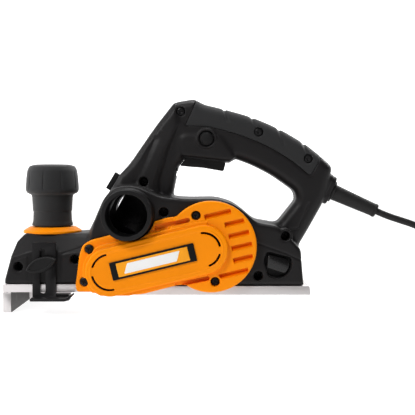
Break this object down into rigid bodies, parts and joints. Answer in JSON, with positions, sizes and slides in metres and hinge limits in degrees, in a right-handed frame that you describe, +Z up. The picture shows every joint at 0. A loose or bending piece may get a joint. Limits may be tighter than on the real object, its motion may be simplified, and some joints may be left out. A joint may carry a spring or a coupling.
{
  "type": "electric hand planer",
  "caption": "Corded hand planer with a D-shaped rear handle, front depth knob, flat two-part sole, cutter drum, side belt cover, side chip outlet and a coiled lead.",
  "frame": {"origin": "middle of the bounding box at its lowest level, cord left out; that level is the bottom of the guide under the nose, 17 mm below the rear sole", "axes": "+Z up, -X towards the nose, -Y towards the belt cover side (left of the user)"},
  "size_m": [0.5685, 0.1294, 0.2028],
  "materials": {
    "shell": "fine matte texture, near black",
    "shell_dark": "matte black",
    "soft_grip": "soft-touch dark grey",
    "orange": "satin orange",
    "badge": "satin white plate, blank",
    "aluminium": "machined, light",
    "steel": "bright steel",
    "dark_steel": "black oxide",
    "brass": "plain",
    "copper": "lacquered copper and core steel",
    "rubber": "matte black rubber"
  },
  "bodies": {
    "body": {"left_housing": "shell", "right_housing": "shell", "spanner_holder": "shell", "outlet_port": "shell_dark", "switch_body": "shell_dark", "grip_left": "soft_grip", "grip_right": "soft_grip", "belt_cover": "orange", "knob_collar": "orange", "badge_plate": "badge", "base_frame": "aluminium", "drum_bearing_left": "steel", "drum_bearing_right": "steel", "stator": "steel", "motor_bearing_left": "steel", "motor_bearing_right": "steel", "cover_screw_1": "dark_steel", "cover_screw_2": "dark_steel", "cover_screw_3": "dark_steel", "cover_screw_4": "dark_steel", "housing_screw_1": "dark_steel", "housing_screw_2": "dark_steel", "housing_screw_3": "dark_steel", "housing_screw_4": "dark_steel", "housing_screw_5": "dark_steel", "housing_screw_6": "dark_steel", "housing_screw_7": "dark_steel", "housing_screw_8": "dark_steel", "housing_screw_9": "dark_steel", "brush_1": "brass", "brush_2": "brass", "drive_belt": "rubber", "strain_relief": "rubber", "power_cord": "rubber", "cord_coil": "rubber", "mains_plug": "rubber"},
    "depth_knob": {"depth_knob": "shell_dark", "depth_spindle": "steel"},
    "front_shoe": {"front_shoe": "aluminium", "shoe_spring": "steel"},
    "edge_guide": {"edge_guide": "aluminium"},
    "guide_wing_bolt": {"guide_wing_bolt": "shell_dark"},
    "drum": {"cutter_drum": "aluminium", "drum_shaft": "steel", "blade_1": "steel", "blade_2": "steel", "blade_clamp_1": "dark_steel", "blade_clamp_2": "dark_steel", "drum_pulley": "dark_steel"},
    "rotor": {"motor_shaft": "steel", "armature": "copper", "commutator": "copper", "fan": "shell_dark", "motor_pulley": "dark_steel"},
    "trigger": {"trigger": "shell_dark"},
    "lock_button": {"lock_button": "shell_dark"},
    "chip_selector": {"chip_lever": "shell_dark", "chip_deflector": "steel"},
    "rebate_stop": {"rebate_stop": "dark_steel"},
    "rebate_wing_bolt": {"rebate_wing_bolt": "shell_dark"}
  },
  "joints": [
    {"name": "knob_turn", "type": "hinge", "parent": "body", "child": "depth_knob", "pos_m": [-0.141, 0.0063, 0.077], "axis": [0, 0, 1], "range_deg": [0, 300]},
    {"name": "shoe_slide", "type": "slide", "parent": "body", "child": "front_shoe", "axis": [0, 0, 1], "range_m": [-0.0025, 0], "deforming": ["shoe_spring"]},
    {"name": "guide_slide", "type": "slide", "parent": "front_shoe", "child": "edge_guide", "axis": [0, 0, 1], "range_m": [-0.012, 0]},
    {"name": "guide_bolt_turn", "type": "hinge", "parent": "front_shoe", "child": "guide_wing_bolt", "pos_m": [-0.1558, 0.0532, 0.023], "axis": [0, 1, 0], "range_deg": [0, 360]},
    {"name": "drum_spin", "type": "hinge", "parent": "body", "child": "drum", "pos_m": [-0.0782, 0.0063, 0.0404], "axis": [0, 1, 0], "continuous": true},
    {"name": "motor_spin", "type": "hinge", "parent": "body", "child": "rotor", "pos_m": [0.0085, 0.0063, 0.0613], "axis": [0, 1, 0], "continuous": true},
    {"name": "trigger_pull", "type": "hinge", "parent": "body", "child": "trigger", "pos_m": [0.0262, 0.0063, 0.143], "axis": [0, 1, 0], "range_deg": [0, 6.5], "stiffness_Nm_per_rad": 0.6, "springref_deg": -14.32},
    {"name": "lock_press", "type": "slide", "parent": "body", "child": "lock_button", "axis": [0, 1, 0], "range_m": [0, 0.003], "stiffness_N_per_m": 400, "springref_m": -0.003},
    {"name": "selector_turn", "type": "hinge", "parent": "body", "child": "chip_selector", "pos_m": [-0.0773, 0.0063, 0.1215], "axis": [0.8572, 0, -0.515], "range_deg": [-70, 0]},
    {"name": "stop_slide", "type": "slide", "parent": "body", "child": "rebate_stop", "axis": [0, 0, 1], "range_m": [-0.004, 0.012]},
    {"name": "stop_bolt_turn", "type": "hinge", "parent": "body", "child": "rebate_wing_bolt", "pos_m": [-0.143, -0.0379, 0.0465], "axis": [0, -1, 0], "range_deg": [0, 360]}
  ],
  "couplings": [
    {"joint": "knob_turn", "follows": "shoe_slide", "rad_per_m": -2094.4},
    {"joint": "motor_spin", "follows": "drum_spin", "ratio": 1.5714}
  ]
}
